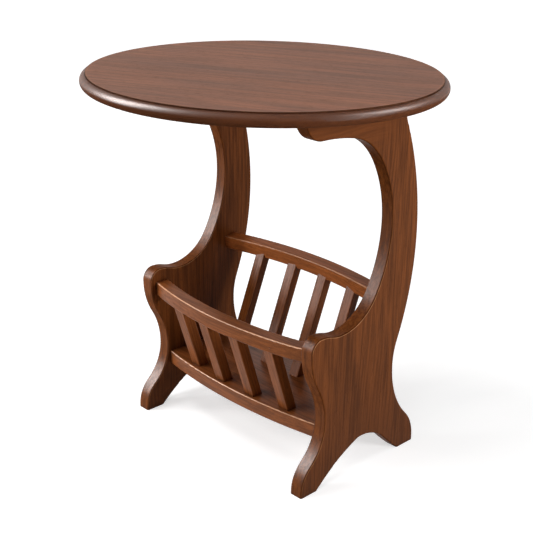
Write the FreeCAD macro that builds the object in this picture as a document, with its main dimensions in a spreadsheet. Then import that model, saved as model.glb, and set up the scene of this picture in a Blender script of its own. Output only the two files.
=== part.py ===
import FreeCAD, Part
import math
import os
import Sketcher

# Round occasional table whose two C-shaped side panels carry a slatted magazine rack.
# Millimetres. The origin is on the floor under the centre of the top: +X to the right, +Y to the
# back, +Z up. The rack opens upwards between the panels, and its front is lower than its back.

# Driving dimensions: name, value and what it measures.
SIZES = [
    ("table_height", 555, "floor to the top surface"),
    ("top_diameter", 500, "across the rim of the top"),
    ("top_thickness", 19, "top surface to its underside"),
    ("field_setback", 8, "rim to the edge of the raised flat field"),
    ("field_step", 2, "height of the field above the bullnose"),
    ("rack_width", 317, "between the inner faces of the side panels"),
    ("panel_thickness", 21, "each side panel"),
    ("panel_rounding", 2.2, "round-over on the edges of the side panels"),
    ("front_toe_reach", 89, "top's centre forward to the front toe"),
    ("rear_toe_reach", 154, "top's centre back to the rear toe"),
    ("toe_height", 6, "upright stretch at the tip of each foot"),
    ("front_sole", 33, "length of the front foot on the floor"),
    ("rear_sole", 36.5, "length of the rear foot on the floor"),
    ("arch_height", 52.3, "floor to the crown of the arch between the feet"),
    ("arch_offset", 32, "top's centre back to the crown of the arch"),
    ("front_waist_reach", 46, "top's centre forward to the front waist"),
    ("front_waist_height", 101, "floor to the front waist"),
    ("rear_waist_reach", 95, "top's centre back to the rear waist"),
    ("rear_waist_height", 148, "floor to the rear waist"),
    ("shoulder_reach", 78, "top's centre forward to the front of the shoulder"),
    ("shoulder_height", 234.5, "floor to the crest of the shoulder"),
    ("shoulder_radius", 19, "round of the shoulder, forward of its crest"),
    ("shoulder_dip", 6.3, "crest of the shoulder down to the hollow behind it"),
    ("dip_offset", 20, "top's centre forward to the lowest point of that hollow"),
    ("upright_front", 72.5, "top's centre back to the front of the upright"),
    ("upright_rear", 129, "top's centre back to the rear of the upright"),
    ("arm_depth", 31, "underside of the top to the underside of the arm"),
    ("arm_reach", 105.5, "top's centre forward to the tip of the arm"),
    ("arm_tip_length", 32, "round of the arm's tip, along the arm"),
    ("arm_bend_offset", 22, "top's centre back to the middle of the bend under the arm"),
    ("arm_bend_drop", 54, "underside of the top down to the middle of that bend"),
    ("arm_heel", 77, "top's centre back to the rear of the panel at its top"),
    ("floor_board_height", 90, "floor to the upper face of the rack's floor board"),
    ("floor_board_thickness", 21.5, "rack's floor board"),
    ("floor_board_depth", 109, "front to back of the floor board at its ends"),
    ("floor_board_setback", 5, "front waist to the front of the floor board at its ends"),
    ("floor_board_bow", 16, "bow of the floor board's long edges"),
    ("floor_board_rounding", 1.8, "round-over on the floor board's long edges"),
    ("rail_thickness", 21, "front to back of each top rail"),
    ("rail_height", 21.5, "height of each top rail's section"),
    ("rail_rounding", 1.8, "round-over on the top rails"),
    ("rail_bow", 22.5, "bow of each top rail"),
    ("front_rail_setback", 10.8, "front of the shoulder to the front rail at its ends"),
    ("front_rail_drop", 30.5, "crest of the shoulder down to the middle of the front rail"),
    ("front_rail_tilt", 2, "lean of the front rail's section, degrees"),
    ("rear_rail_setback", 33, "rear of the upright to the rear rail at its ends"),
    ("rear_rail_rise", 42.7, "middle of the front rail up to the middle of the rear rail"),
    ("rear_rail_tilt", 8, "lean of the rear rail's section, degrees"),
    ("slat_rounding", 1.2, "round-over on the slats"),
    ("slat_housing", 8, "depth of the slats in their mortises"),
    ("front_slat_width", 19, "each front slat, side to side"),
    ("front_slat_depth", 18, "each front slat, front to back"),
    ("front_slat_setback", 6, "front of the floor board to the feet of the front slats"),
    ("rear_slat_width", 17.5, "each rear slat, side to side"),
    ("rear_slat_depth", 15.5, "each rear slat, front to back"),
    ("rear_slat_setback", 26, "rear of the floor board to the feet of the rear slats"),
    ("slat_shift", 1.5, "middle of a rail's underside inwards to the middle of its slats"),
    ("rail_dowel_diameter", 10, "dowels in the ends of the rails"),
    ("board_dowel_diameter", 8, "dowels in the ends of the floor board and under the top"),
    ("board_dowel_spacing", 60, "between the two dowels in each end of the floor board"),
    ("dowel_length", 30, "dowels in the ends of the rails and the floor board"),
    ("dowel_in_panel", 13, "depth of those dowels in the side panels"),
    ("dowel_chamfer", 1, "bevel on the ends of the dowels"),
    ("top_dowel_length", 24, "dowels between the uprights and the top"),
    ("top_dowel_in_top", 11, "depth of those dowels in the top"),
    ("top_dowel_offset", 50, "top's centre back to those dowels"),
    ("screw_length", 32, "top screws, under the head"),
    ("screw_diameter", 4.5, "shank of the top screws"),
    ("screw_head_diameter", 8.6, "head of the top screws"),
    ("screw_head_height", 3.4, "head of the top screws"),
    ("screw_point_length", 5, "tapered point of the top screws"),
    ("screw_recess_width", 1.1, "each arm of the cross in the screws' heads"),
    ("screw_recess_span", 4.6, "across the cross in the screws' heads"),
    ("screw_recess_depth", 1.8, "cross in the screws' heads"),
    ("screw_grip", 20, "wood of the arm between a screw's head and the top"),
    ("screw_offset", 45, "top's centre forward to the middle of each pair of screws"),
    ("screw_spacing", 50, "between the two screws of an arm"),
    ("counterbore_diameter", 11, "holes in the arms for the screws' heads"),
    ("glue_gap", 0.1, "between a dowel, screw or slat and its hole, all round and at its end"),
    ("overrun", 30, "how far cuts run past the wood"),
]
SLATS_PER_SIDE = 4

# Differences below this count as none.
TOLERANCE = 1e-6

# Where the upright is plumb: in front, the share of the way up from the hollow to the arm, and
# behind, the share of the way up from the waist to the top.
UPRIGHT_FRONT_SHARE = 0.49
UPRIGHT_REAR_SHARE = 0.474

# Stretches of the side panel's outline: each is two arcs that meet in one tangent, and this share
# is the first arc's part of the turn's tangent lengths.
EVEN_SHARE = 0.5
RISE_LEAD_SHARE = 0.455
UPRIGHT_FRONT_LEAD_SHARE = 0.72
ARM_LEAD_SHARE = 0.4
UPRIGHT_REAR_LEAD_SHARE = 0.8
REAR_FOOT_LEAD_SHARE = 0.67
FRONT_FOOT_LEAD_SHARE = 0.4
REAR_ARCH_LEAD_SHARE = 0.42
FRONT_ARCH_LEAD_SHARE = 0.09

# Directions of travel round the outline.
BACKWARD = FreeCAD.Vector(0, 1, 0)
UPWARD = FreeCAD.Vector(0, 0, 1)
FORWARD = -BACKWARD
DOWNWARD = -UPWARD

# Slopes of the outline where it is neither level nor plumb, in degrees from the level.
ARM_BEND_SLOPE = 39
ARM_TIP_SLOPE = 83
ARM_HEEL_SLOPE = 62
REAR_ARCH_SLOPE = 40
FRONT_ARCH_SLOPE = 43

doc = FreeCAD.newDocument("MagazineTable")
sheet = doc.addObject("Spreadsheet::Sheet", "Sizes")
for row, (alias, value, meaning) in enumerate(SIZES, start=1):
    sheet.set(f"A{row}", meaning)
    sheet.set(f"B{row}", str(value))
    sheet.setAlias(f"B{row}", alias)
doc.recompute()

sub_parts = []


def value_of(expression):
    """Number that an expression of the sheet's sizes gives, in millimetres or degrees."""
    result = sheet.evalExpression(expression)
    return float(getattr(result, "Value", result))


def bind(item, **expressions):
    """Ties properties of an object to expressions of the sheet's sizes."""
    for name, expression in expressions.items():
        item.setExpression(name.replace("__", "."), expression)


def new_body(label, x="0", y="0", z="0"):
    """Empty body of one sub-part, whose own origin lies at the given place."""
    body = doc.addObject("PartDesign::Body", label)
    body.Label = label
    bind(body, Placement__Base__x=x, Placement__Base__y=y, Placement__Base__z=z)
    sub_parts.append(body)
    return body


def origin_feature(body, role):
    """Plane or axis of a body's own origin."""
    return next(item for item in body.Origin.OriginFeatures if item.Role == role)


def new_sketch(body, name, plane, x="0", y="0", z="0", turn=None):
    """Sketch on one of a body's origin planes, shifted and turned in that plane's own axes."""
    sketch = body.newObject("Sketcher::SketchObject", name)
    sketch.AttachmentSupport = (origin_feature(body, plane), "")
    sketch.MapMode = "FlatFace"
    offsets = {"x": x, "y": y, "z": z}
    for axis, expression in offsets.items():
        sketch.setExpression(f"AttachmentOffset.Base.{axis}", expression)
    if turn:
        rotation = FreeCAD.Rotation(value_of(turn), 0, 0)
        sketch.AttachmentOffset = FreeCAD.Placement(FreeCAD.Vector(), rotation)
        sketch.setExpression("AttachmentOffset.Rotation.Angle", turn)
    return sketch


def constrain(sketch, expression, *arguments):
    """Adds one dimension to a sketch and ties it to an expression."""
    index = sketch.addConstraint(Sketcher.Constraint(*arguments, value_of(expression)))
    sketch.setExpression(f"Constraints[{index}]", expression)


def pin(sketch, curve, end, x, y):
    """Holds one end of a curve at a place given by two expressions."""
    constrain(sketch, x, "DistanceX", -1, 1, curve, end)
    constrain(sketch, y, "DistanceY", -1, 1, curve, end)


def arc_between(start, end, radius, turn):
    """Arc from start to end that turns left (1) or right (-1), in a sketch's plane."""
    chord = end - start
    half = chord.Length / 2
    rise = math.sqrt(max(radius * radius - half * half, 0))
    side = FreeCAD.Vector(-chord.y, chord.x, 0).normalize()
    centre = (start + end) / 2 + side * rise * turn
    first, last = (start, end) if turn > 0 else (end, start)
    angles = [math.atan2(point.y - centre.y, point.x - centre.x) for point in (first, last)]
    circle = Part.Circle(centre, FreeCAD.Vector(0, 0, 1), radius)
    return Part.ArcOfCircle(circle, *angles)


def draw_loop(sketch, corners, arcs=None):
    """Closed outline whose corners are pairs of expressions.

    arcs holds, by the number of the corner where an arc starts, its radius and its turn."""
    arcs = arcs or {}
    points = [FreeCAD.Vector(value_of(x), value_of(y), 0) for x, y in corners]
    curves = []
    for number, start in enumerate(points):
        end = points[(number + 1) % len(points)]
        if number in arcs:
            radius, turn = arcs[number]
            curve = sketch.addGeometry(arc_between(start, end, value_of(radius), turn))
            curves.append((curve, 1, 2) if turn > 0 else (curve, 2, 1))
        else:
            curve = sketch.addGeometry(Part.LineSegment(start, end))
            curves.append((curve, 1, 2))
    for number, (curve, start, end) in enumerate(curves):
        following, its_start, its_end = curves[(number + 1) % len(curves)]
        sketch.addConstraint(Sketcher.Constraint("Coincident", curve, end, following, its_start))
        pin(sketch, curve, start, *corners[number])
    for number, (radius, turn) in arcs.items():
        constrain(sketch, radius, "Radius", curves[number][0])


def draw_rounded_box(sketch, x, y, width, height, rounding):
    """Rectangle with round corners, centred on x, y."""
    left, right = f"({x}) - ({width}) / 2", f"({x}) + ({width}) / 2"
    low, high = f"({y}) - ({height}) / 2", f"({y}) + ({height}) / 2"
    corners = [
        (f"{left} + {rounding}", low),
        (f"{right} - {rounding}", low),
        (right, f"{low} + {rounding}"),
        (right, f"{high} - {rounding}"),
        (f"{right} - {rounding}", high),
        (f"{left} + {rounding}", high),
        (left, f"{high} - {rounding}"),
        (left, f"{low} + {rounding}"),
    ]
    draw_loop(sketch, corners, {number: (rounding, 1) for number in (1, 3, 5, 7)})


def draw_circle(sketch, x, y, diameter):
    """Circle of a given diameter, centred on x, y."""
    centre = FreeCAD.Vector(value_of(x), value_of(y), 0)
    circle = Part.Circle(centre, FreeCAD.Vector(0, 0, 1), value_of(diameter) / 2)
    curve = sketch.addGeometry(circle)
    pin(sketch, curve, 3, x, y)
    constrain(sketch, diameter, "Diameter", curve)


def pad(body, sketch, length, direction=None):
    """Solid drawn out of a sketch, straight up from it or along a slanting direction."""
    feature = body.newObject("PartDesign::Pad", sketch.Name + "_pad")
    feature.Profile = sketch
    bind(feature, Length=length)
    slant(feature, direction)
    return feature


def slant(feature, direction):
    """Turns a pad or pocket to a direction given by three expressions; its length stays upright."""
    if direction:
        feature.UseCustomVector = True
        feature.AlongSketchNormal = True
        feature.Direction = FreeCAD.Vector(*[value_of(part) for part in direction])
        for axis, part in zip("xyz", direction):
            feature.setExpression(f"Direction.{axis}", part)


def pocket(body, sketch, depth, reverse=False, symmetric=False, direction=None):
    """Hole cut from a sketch; reverse cuts towards the side that the sketch faces."""
    doc.recompute()
    before = body.Shape.Volume
    feature = body.newObject("PartDesign::Pocket", sketch.Name + "_pocket")
    feature.Profile = sketch
    feature.Reversed = reverse
    if symmetric:
        feature.SideType = "Symmetric"
    bind(feature, Length=depth)
    slant(feature, direction)
    doc.recompute()
    if body.Shape.Volume >= before:
        raise RuntimeError(f"{feature.Name} cuts nothing")
    return feature


def revolve(body, sketch, angle="360", symmetric=False):
    """Solid turned about the body's own upright axis."""
    feature = body.newObject("PartDesign::Revolution", sketch.Name + "_turned")
    feature.Profile = sketch
    feature.ReferenceAxis = (origin_feature(body, "Z_Axis"), [""])
    feature.Midplane = symmetric
    bind(feature, Angle=angle)
    return feature


def fillet(body, radius, wanted):
    """Rounds the edges of a body that a test picks."""
    doc.recompute()
    tip = body.Tip
    names = [f"Edge{number}" for number, edge in enumerate(tip.Shape.Edges, start=1) if wanted(edge)]
    feature = body.newObject("PartDesign::Fillet", body.Name + "_rounding")
    feature.Base = (tip, names)
    bind(feature, Radius=radius)
    return feature


def group(label, solids):
    """One sub-part made of several like pieces."""
    compound = doc.addObject("Part::Compound", label)
    compound.Label = label
    compound.Links = solids
    sub_parts.append(compound)


# Heights and places that several sub-parts share, as expressions of the sheet's sizes.
HALF_RACK = "Sizes.rack_width / 2"
TOP_UNDERSIDE = "(Sizes.table_height - Sizes.top_thickness)"
FLOOR_BOARD_FRONT = "(Sizes.floor_board_setback - Sizes.front_waist_reach)"
FLOOR_BOARD_REAR = f"({FLOOR_BOARD_FRONT} + Sizes.floor_board_depth)"
BOARD_MIDDLE = f"({FLOOR_BOARD_FRONT} + {FLOOR_BOARD_REAR}) / 2"
BOARD_DOWEL_HEIGHT = "(Sizes.floor_board_height - Sizes.floor_board_thickness / 2)"
FRONT_RAIL_HEIGHT = "(Sizes.shoulder_height - Sizes.front_rail_drop)"
REAR_RAIL_HEIGHT = f"({FRONT_RAIL_HEIGHT} + Sizes.rear_rail_rise)"
FRONT_RAIL_END = "(Sizes.front_rail_setback + Sizes.rail_thickness / 2 - Sizes.shoulder_reach)"
REAR_RAIL_END = "(Sizes.upright_rear - Sizes.rear_rail_setback - Sizes.rail_thickness / 2)"
DOWEL_IN_RACK = "(Sizes.dowel_length - Sizes.dowel_in_panel)"
BOARD_DOWEL_PLACES = [
    f"({BOARD_MIDDLE} - Sizes.board_dowel_spacing / 2)",
    f"({BOARD_MIDDLE} + Sizes.board_dowel_spacing / 2)",
]
TOP_DOWEL_PLACES = ["Sizes.top_dowel_offset"]
SCREW_PLACES = [
    "(0 - Sizes.screw_offset - Sizes.screw_spacing / 2)",
    "(0 - Sizes.screw_offset + Sizes.screw_spacing / 2)",
]
PANEL_MIDDLE = f"({HALF_RACK} + Sizes.panel_thickness / 2)"


def hole(diameter):
    """Diameter of the hole that a dowel or screw goes into."""
    return f"({diameter} + 2 * Sizes.glue_gap)"


def bow_radius(bow):
    """Radius of a bow over the width of the rack."""
    return f"(({HALF_RACK}) ^ 2 + {bow} ^ 2) / (2 * {bow})"


RAIL_RADIUS = f"({bow_radius('Sizes.rail_bow')})"


class RackSide:
    """Front or rear of the rack: its rail, and its slats between that rail and the floor board."""

    def __init__(self, name, outward, rail_end, rail_height, board_end):
        self.name = name
        self.outward = outward
        self.rail_end = rail_end
        self.rail_height = rail_height
        self.tilt = f"Sizes.{name}_rail_tilt"
        self.width = f"Sizes.{name}_slat_width"
        self.depth = f"Sizes.{name}_slat_depth"
        self.rail_middle = f"({rail_end} + {outward} * Sizes.rail_bow)"
        self.bow_centre = f"({self.rail_middle} - {outward} * {RAIL_RADIUS})"
        self.seat_height = f"({rail_height} - Sizes.rail_height / 2 * cos({self.tilt} * 1 deg))"
        self.seat_inset = f"(Sizes.rail_height / 2 * sin({self.tilt} * 1 deg) + Sizes.slat_shift)"
        board_middle = f"({board_end} + {outward} * Sizes.floor_board_bow)"
        foot_inset = f"(Sizes.{name}_slat_setback + {self.depth} / 2)"
        foot_middle = f"({board_middle} - {outward} * {foot_inset})"
        seat_middle = f"({self.rail_middle} - {outward} * {self.seat_inset})"
        self.climb = f"({self.seat_height} - Sizes.floor_board_height)"
        self.slope = f"(({seat_middle} - {foot_middle}) / {self.climb})"
        self.slat_top = f"({self.seat_height} + Sizes.slat_housing)"

    def slat_x(self, number):
        """Place of a slat across the rack; the slats divide the width evenly."""
        return f"(Sizes.rack_width * ({number} / {SLATS_PER_SIDE + 1} - 1 / 2))"

    def slat_y(self, number, height):
        """Place of a slat's middle, front to back, at a given height."""
        bow = f"sqrt({RAIL_RADIUS} ^ 2 - {self.slat_x(number)} ^ 2)"
        seat = f"({self.bow_centre} + {self.outward} * ({bow} - {self.seat_inset}))"
        return f"({seat} + {self.slope} * ({height} - {self.seat_height}))"

    def upward(self):
        """Direction of the slats from the floor board to the rail."""
        return "0", self.slope, "1"

    def downward(self):
        """Direction of the slats from the rail to the floor board."""
        return "0", f"0 - {self.slope}", "-1"


front = RackSide("front", -1, FRONT_RAIL_END, FRONT_RAIL_HEIGHT, FLOOR_BOARD_FRONT)
rear = RackSide("rear", 1, REAR_RAIL_END, REAR_RAIL_HEIGHT, FLOOR_BOARD_REAR)
sides = [front, rear]
slat_numbers = range(1, SLATS_PER_SIDE + 1)


def arc_through(start, heading, end):
    """Arc that leaves start in the given unit direction and passes through end."""
    chord = end - start
    across = FreeCAD.Vector(0, -heading.z, heading.y)
    lean = chord.dot(across)
    if abs(lean) < chord.Length * TOLERANCE:
        return Part.LineSegment(start, end)
    radius = chord.Length ** 2 / (2 * lean)
    centre = start + across * radius
    middle = (start + end) / 2 - centre
    flip = 1 if chord.dot(heading) > 0 else -1
    return Part.Arc(start, centre + middle.normalize() * abs(radius) * flip, end)


def sloping(level, plumb, slope):
    """Direction that rises or falls at a slope from a level one."""
    angle = math.radians(slope)
    return level * math.cos(angle) + plumb * math.sin(angle)


def double_arc(start, leave, end, arrive, lead_share):
    """Two arcs with one tangent where they meet, from start to end with the given directions."""
    chord = end - start
    lead, rest = lead_share, 1 - lead_share
    pull = leave * lead + arrive * rest
    square = pull.dot(pull) - 1
    linear = -2 * chord.dot(pull)
    constant = chord.dot(chord)
    if abs(square) < TOLERANCE:
        reach = -constant / linear
    else:
        reach = (-linear - math.sqrt(linear * linear - 4 * square * constant)) / (2 * square)
    first = start + leave * lead * reach
    second = end - arrive * rest * reach
    meeting = first * rest + second * lead
    tangent = (second - first).normalize()
    return [arc_through(start, leave, meeting), arc_through(meeting, tangent, end)]


def panel_outline():
    """Curves of the side panel's outline, seen from the side, starting at the front toe."""
    size = {alias: value_of(f"Sizes.{alias}") for alias, value, meaning in SIZES}
    panel_top = value_of(TOP_UNDERSIDE)
    arm_under = panel_top - size["arm_depth"]
    arm_bend = panel_top - size["arm_bend_drop"]
    shoulder_crest = size["shoulder_radius"] - size["shoulder_reach"]
    shoulder_front = size["shoulder_height"] - size["shoulder_radius"]
    hollow = size["shoulder_height"] - size["shoulder_dip"]
    front_plumb = hollow + UPRIGHT_FRONT_SHARE * (arm_under - hollow)
    rear_plumb = size["rear_waist_height"] + UPRIGHT_REAR_SHARE * (panel_top - size["rear_waist_height"])
    arm_tip_start = size["arm_tip_length"] - size["arm_reach"]
    rear_heel = size["rear_toe_reach"] - size["rear_sole"]
    front_heel = size["front_sole"] - size["front_toe_reach"]
    bend = sloping(FORWARD, UPWARD, ARM_BEND_SLOPE)
    tip = sloping(FORWARD, UPWARD, ARM_TIP_SLOPE)
    heel = sloping(BACKWARD, DOWNWARD, ARM_HEEL_SLOPE)
    arch_rise = sloping(FORWARD, UPWARD, REAR_ARCH_SLOPE)
    arch_fall = sloping(FORWARD, DOWNWARD, FRONT_ARCH_SLOPE)
    # Each corner: place to the back, height, direction there and the share of the stretch after it.
    chains = [
        [
            (-size["front_toe_reach"], size["toe_height"], UPWARD, FRONT_FOOT_LEAD_SHARE),
            (-size["front_waist_reach"], size["front_waist_height"], UPWARD, EVEN_SHARE),
            (-size["shoulder_reach"], shoulder_front, UPWARD, EVEN_SHARE),
            (shoulder_crest, size["shoulder_height"], BACKWARD, EVEN_SHARE),
            (-size["dip_offset"], hollow, BACKWARD, RISE_LEAD_SHARE),
            (size["upright_front"], front_plumb, UPWARD, UPRIGHT_FRONT_LEAD_SHARE),
            (size["arm_bend_offset"], arm_bend, bend, ARM_LEAD_SHARE),
            (arm_tip_start, arm_under, FORWARD, EVEN_SHARE),
            (-size["arm_reach"], panel_top, tip, EVEN_SHARE),
        ],
        [
            (size["arm_heel"], panel_top, heel, EVEN_SHARE),
            (size["upright_rear"], rear_plumb, DOWNWARD, UPRIGHT_REAR_LEAD_SHARE),
            (size["rear_waist_reach"], size["rear_waist_height"], DOWNWARD, REAR_FOOT_LEAD_SHARE),
            (size["rear_toe_reach"], size["toe_height"], DOWNWARD, EVEN_SHARE),
        ],
        [
            (size["rear_toe_reach"], 0, FORWARD, EVEN_SHARE),
        ],
        [
            (rear_heel, 0, arch_rise, REAR_ARCH_LEAD_SHARE),
            (size["arch_offset"], size["arch_height"], FORWARD, FRONT_ARCH_LEAD_SHARE),
            (front_heel, 0, arch_fall, EVEN_SHARE),
        ],
        [
            (-size["front_toe_reach"], 0, UPWARD, EVEN_SHARE),
        ],
    ]
    curves = []
    last = None
    for chain in chains + chains[:1]:
        point = FreeCAD.Vector(0, chain[0][0], chain[0][1])
        if last:
            curves.append(Part.LineSegment(last, point))
            if chain is chains[0]:
                break
        for (y, z, leave, share), (end_y, end_z, arrive, unused) in zip(chain, chain[1:]):
            end = FreeCAD.Vector(0, end_y, end_z)
            curves += double_arc(FreeCAD.Vector(0, y, z), leave, end, arrive, share)
            point = end
        last = point
    return curves


def in_plane(curve):
    """Copy of a side-view curve in the axes of a sketch that faces along X."""
    points = [curve.value(curve.FirstParameter), curve.value(curve.LastParameter)]
    if isinstance(curve, Part.LineSegment):
        return Part.LineSegment(*[FreeCAD.Vector(point.y, point.z, 0) for point in points])
    middle = curve.value((curve.FirstParameter + curve.LastParameter) / 2)
    points.insert(1, middle)
    return Part.Arc(*[FreeCAD.Vector(point.y, point.z, 0) for point in points])


def make_top():
    """Round top: a raised flat field, and a bullnose round its rim."""
    body = new_body("table_top", z=TOP_UNDERSIDE)
    rim = "Sizes.top_diameter / 2"
    nose = "(Sizes.top_thickness - Sizes.field_step) / 2"
    field = f"({rim} - Sizes.field_setback)"
    nose_centre = f"({rim} - {nose})"
    step_foot = f"({nose} + sqrt(({nose}) ^ 2 - ({field} - {nose_centre}) ^ 2))"
    profile = new_sketch(body, "top_profile", "XZ_Plane")
    corners = [
        ("0", "0"),
        (nose_centre, "0"),
        (rim, nose),
        (field, step_foot),
        (field, "Sizes.top_thickness"),
        ("0", "Sizes.top_thickness"),
    ]
    draw_loop(profile, corners, {1: (nose, 1), 2: (nose, 1)})
    revolve(body, profile)
    screw_depth = "(Sizes.screw_length - Sizes.screw_grip)"
    holes = [
        ("top_dowel_holes", "Sizes.board_dowel_diameter", "Sizes.top_dowel_in_top", TOP_DOWEL_PLACES),
        ("top_screw_holes", "Sizes.screw_diameter", screw_depth, SCREW_PLACES),
    ]
    for name, diameter, depth, places in holes:
        sketch = new_sketch(body, name, "XY_Plane")
        for place in places:
            draw_circle(sketch, PANEL_MIDDLE, place, hole(diameter))
            draw_circle(sketch, f"0 - {PANEL_MIDDLE}", place, hole(diameter))
        pocket(body, sketch, f"{depth} + Sizes.glue_gap", reverse=True)


def make_panel(label, inner_is_left):
    """Side panel with two feet, a shoulder, an upright and an arm that carries the top."""
    x = HALF_RACK if inner_is_left else f"0 - {HALF_RACK} - Sizes.panel_thickness"
    inner = "0" if inner_is_left else "Sizes.panel_thickness"
    body = new_body(label, x=x)
    outline = new_sketch(body, label + "_outline", "YZ_Plane")
    for curve in panel_outline():
        outline.addGeometry(in_plane(curve))
    pad(body, outline, "Sizes.panel_thickness")
    level_edges = (0, value_of(TOP_UNDERSIDE))

    def on_a_face(edge):
        box = edge.BoundBox
        level = any(abs(box.ZMin - z) + abs(box.ZMax - z) < TOLERANCE for z in level_edges)
        return box.XLength < TOLERANCE and not level

    fillet(body, "Sizes.panel_rounding", on_a_face)
    rail_dowels = [(side.rail_end, side.rail_height) for side in sides]
    board_dowels = [(place, BOARD_DOWEL_HEIGHT) for place in BOARD_DOWEL_PLACES]
    dowels = [
        ("rail", "Sizes.rail_dowel_diameter", rail_dowels),
        ("board", "Sizes.board_dowel_diameter", board_dowels),
    ]
    for name, diameter, places in dowels:
        sketch = new_sketch(body, f"{label}_{name}_dowel_holes", "YZ_Plane", z=inner)
        for place, height in places:
            draw_circle(sketch, place, height, hole(diameter))
        pocket(body, sketch, "Sizes.dowel_in_panel + Sizes.glue_gap", reverse=inner_is_left)
    in_panel = "Sizes.top_dowel_length - Sizes.top_dowel_in_top + Sizes.glue_gap"
    below_grip = "Sizes.arm_depth - Sizes.screw_grip + Sizes.overrun"
    seat = f"{TOP_UNDERSIDE} - Sizes.screw_grip"
    bores = [
        ("top_dowel_hole", TOP_UNDERSIDE, "Sizes.board_dowel_diameter", in_panel, TOP_DOWEL_PLACES),
        ("screw_holes", TOP_UNDERSIDE, "Sizes.screw_diameter", "Sizes.arm_depth", SCREW_PLACES),
        ("counterbores", seat, "Sizes.counterbore_diameter", below_grip, SCREW_PLACES),
    ]
    for name, height, diameter, depth, places in bores:
        sketch = new_sketch(body, f"{label}_{name}", "XY_Plane", z=height)
        for place in places:
            draw_circle(sketch, "Sizes.panel_thickness / 2", place, hole(diameter))
        pocket(body, sketch, depth)


def cut_slat_mortises(body, side, height, base_y, base_z, depth):
    """Mortises for the slats of one side, cut from a level of the body down along the slats."""
    sketch = new_sketch(body, f"{body.Name}_{side.name}_mortises", "XY_Plane", z=f"{height} - {base_z}")
    for number in slat_numbers:
        draw_rounded_box(
            sketch,
            side.slat_x(number),
            f"({side.slat_y(number, height)} - {base_y})",
            f"{side.width} + 2 * Sizes.glue_gap",
            f"{side.depth} + 2 * Sizes.glue_gap",
            "Sizes.slat_rounding",
        )
    pocket(body, sketch, depth, direction=side.downward())


def make_rail(side):
    """Bowed top rail, with its ends cut to the side panels."""
    label = f"{side.name}_top_rail"
    body = new_body(label, y=side.bow_centre, z=side.rail_height)
    section = new_sketch(
        body,
        label + "_section",
        "YZ_Plane",
        x=f"{side.outward} * {RAIL_RADIUS}",
        turn=f"{-side.outward} * {side.tilt} * 1 deg",
    )
    draw_rounded_box(section, "0", "0", "Sizes.rail_thickness", "Sizes.rail_height", "Sizes.rail_rounding")
    inner_radius = f"({RAIL_RADIUS} - Sizes.rail_thickness)"
    revolve(body, section, f"2 * asin(({HALF_RACK} + Sizes.glue_gap) / {inner_radius})", symmetric=True)
    trims = new_sketch(body, label + "_ends", "XY_Plane")
    far = f"({HALF_RACK} + Sizes.overrun)"
    near_y = f"{side.outward} * ({RAIL_RADIUS} - Sizes.rail_bow - Sizes.overrun)"
    far_y = f"{side.outward} * ({RAIL_RADIUS} + Sizes.overrun)"
    for sign in ("", "0 - "):
        edge, beyond = f"{sign}{HALF_RACK}", f"{sign}{far}"
        draw_loop(trims, [(edge, near_y), (beyond, near_y), (beyond, far_y), (edge, far_y)])
    pocket(body, trims, "2 * (Sizes.rail_height + Sizes.rail_thickness)", symmetric=True)
    for end, x, reverse in (("right", HALF_RACK, False), ("left", f"0 - {HALF_RACK}", True)):
        sketch = new_sketch(body, f"{label}_{end}_dowel_hole", "YZ_Plane", z=x)
        draw_circle(sketch, f"{side.rail_end} - {side.bow_centre}", "0", hole("Sizes.rail_dowel_diameter"))
        pocket(body, sketch, f"{DOWEL_IN_RACK} + Sizes.glue_gap", reverse=reverse)
    mortise_top = f"({side.slat_top} + Sizes.glue_gap)"
    cut_slat_mortises(body, side, mortise_top, side.bow_centre, side.rail_height, "Sizes.rail_height")


def make_floor_board():
    """Floor of the rack, bowed to the front and to the back."""
    bottom = "(Sizes.floor_board_height - Sizes.floor_board_thickness)"
    body = new_body("floor_board", z=bottom)
    outline = new_sketch(body, "floor_board_outline", "XY_Plane")
    corners = [
        (f"0 - {HALF_RACK}", FLOOR_BOARD_FRONT),
        (HALF_RACK, FLOOR_BOARD_FRONT),
        (HALF_RACK, FLOOR_BOARD_REAR),
        (f"0 - {HALF_RACK}", FLOOR_BOARD_REAR),
    ]
    bow = (bow_radius("Sizes.floor_board_bow"), 1)
    draw_loop(outline, corners, {0: bow, 2: bow})
    pad(body, outline, "Sizes.floor_board_thickness")

    def is_bowed(edge):
        return isinstance(edge.Curve, Part.Circle)

    fillet(body, "Sizes.floor_board_rounding", is_bowed)
    for end, x, reverse in (("right", HALF_RACK, False), ("left", f"0 - {HALF_RACK}", True)):
        sketch = new_sketch(body, f"floor_board_{end}_dowel_holes", "YZ_Plane", z=x)
        for place in BOARD_DOWEL_PLACES:
            diameter = hole("Sizes.board_dowel_diameter")
            draw_circle(sketch, place, "Sizes.floor_board_thickness / 2", diameter)
        pocket(body, sketch, f"{DOWEL_IN_RACK} + Sizes.glue_gap", reverse=reverse)
    for side in sides:
        depth = "Sizes.slat_housing + Sizes.glue_gap"
        cut_slat_mortises(body, side, "Sizes.floor_board_height", "0", bottom, depth)


def make_slat(side, number):
    """Leaning slat, housed in the floor board and in the rail, with its ends cut level."""
    label = f"{side.name}_slat_{number}"
    foot = "(Sizes.floor_board_height - Sizes.slat_housing)"
    body = new_body(label, x=side.slat_x(number), y=side.slat_y(number, foot), z=foot)
    section = new_sketch(body, label + "_section", "XY_Plane")
    draw_rounded_box(section, "0", "0", side.width, side.depth, "Sizes.slat_rounding")
    pad(body, section, f"{side.slat_top} - {foot}", side.upward())


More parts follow.
